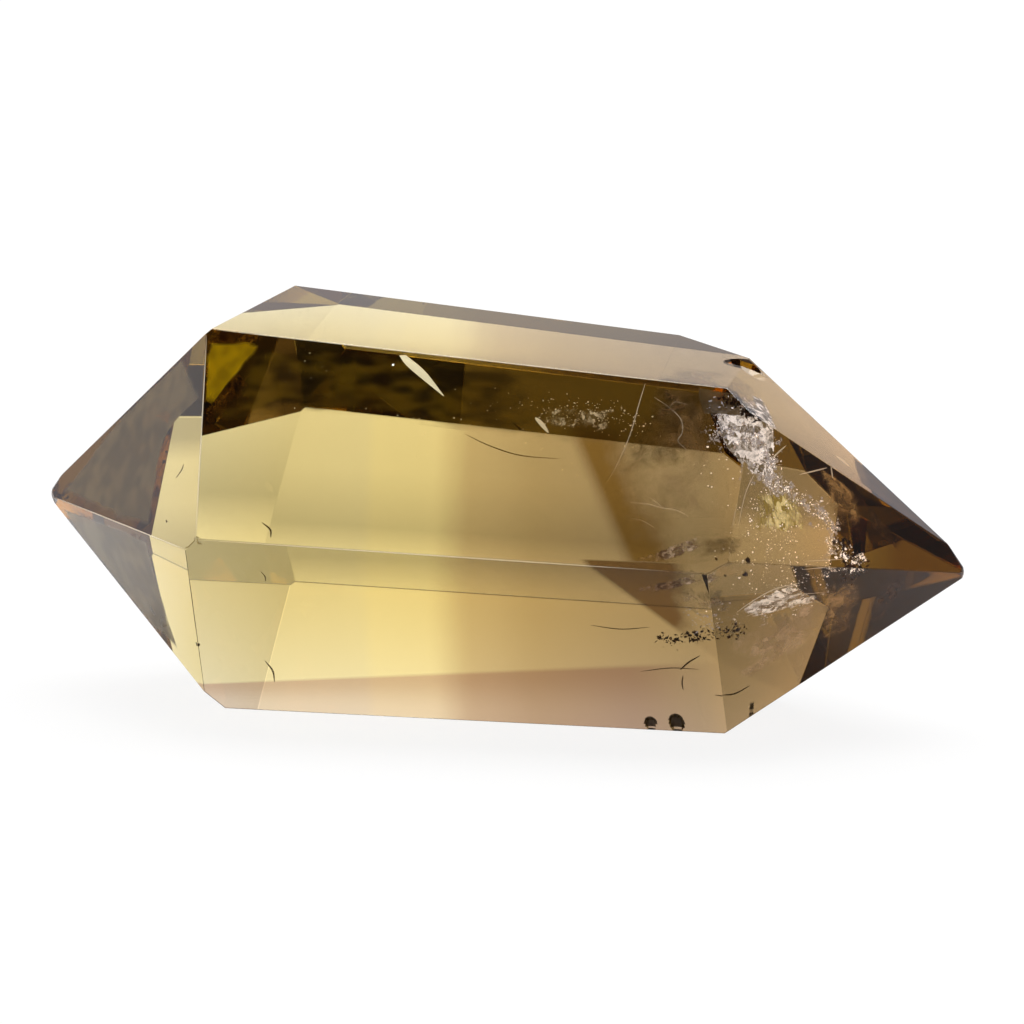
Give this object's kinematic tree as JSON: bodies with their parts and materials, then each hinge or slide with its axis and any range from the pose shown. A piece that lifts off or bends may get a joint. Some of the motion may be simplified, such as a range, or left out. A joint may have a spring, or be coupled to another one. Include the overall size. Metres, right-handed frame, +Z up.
{
  "type": "double-ended citrine crystal point",
  "caption": "Polished clear yellow quartz point with flat prism faces and a pointed tip at each end, lying on one of its long faces.",
  "frame": {"origin": "on the surface the stone lies on, under the middle of its bounding box", "axes": "+X along the long axis towards the smoky, narrower end; +Z up, away from the face it rests on; -Y towards the front"},
  "size_m": [0.049, 0.0236, 0.0204],
  "materials": {
    "citrine": "polished clear quartz, yellow at one end and smoky brown at the other"
  },
  "bodies": {
    "root": {"citrine_point": "citrine"}
  },
  "joints": []
}
